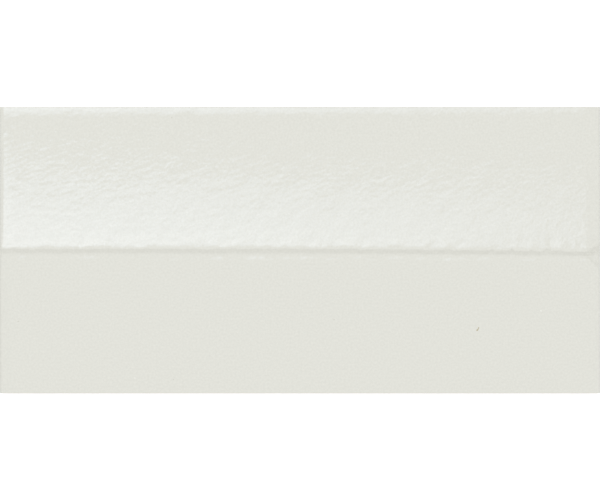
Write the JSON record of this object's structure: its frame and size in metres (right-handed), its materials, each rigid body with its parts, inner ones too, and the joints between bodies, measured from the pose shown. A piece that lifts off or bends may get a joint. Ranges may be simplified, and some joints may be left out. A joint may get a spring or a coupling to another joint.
{
  "type": "decorative wall tile",
  "caption": "Glossy off-white glazed wall tile with a scooped upper course, a lengthwise false joint, a flat lower course and a keyed back for adhesive.",
  "frame": {"origin": "middle of the back face, on the rib between the key pockets", "axes": "+X along the course to the right as the face is seen, +Y up the wall towards the rounded top edge, +Z out of the face"},
  "size_m": [0.248, 0.118, 0.0101],
  "materials": {
    "glaze": "glossy rippled off-white glaze on the face, bare fired clay on the back"
  },
  "bodies": {
    "root": {"wall_tile": "glaze"}
  },
  "joints": []
}
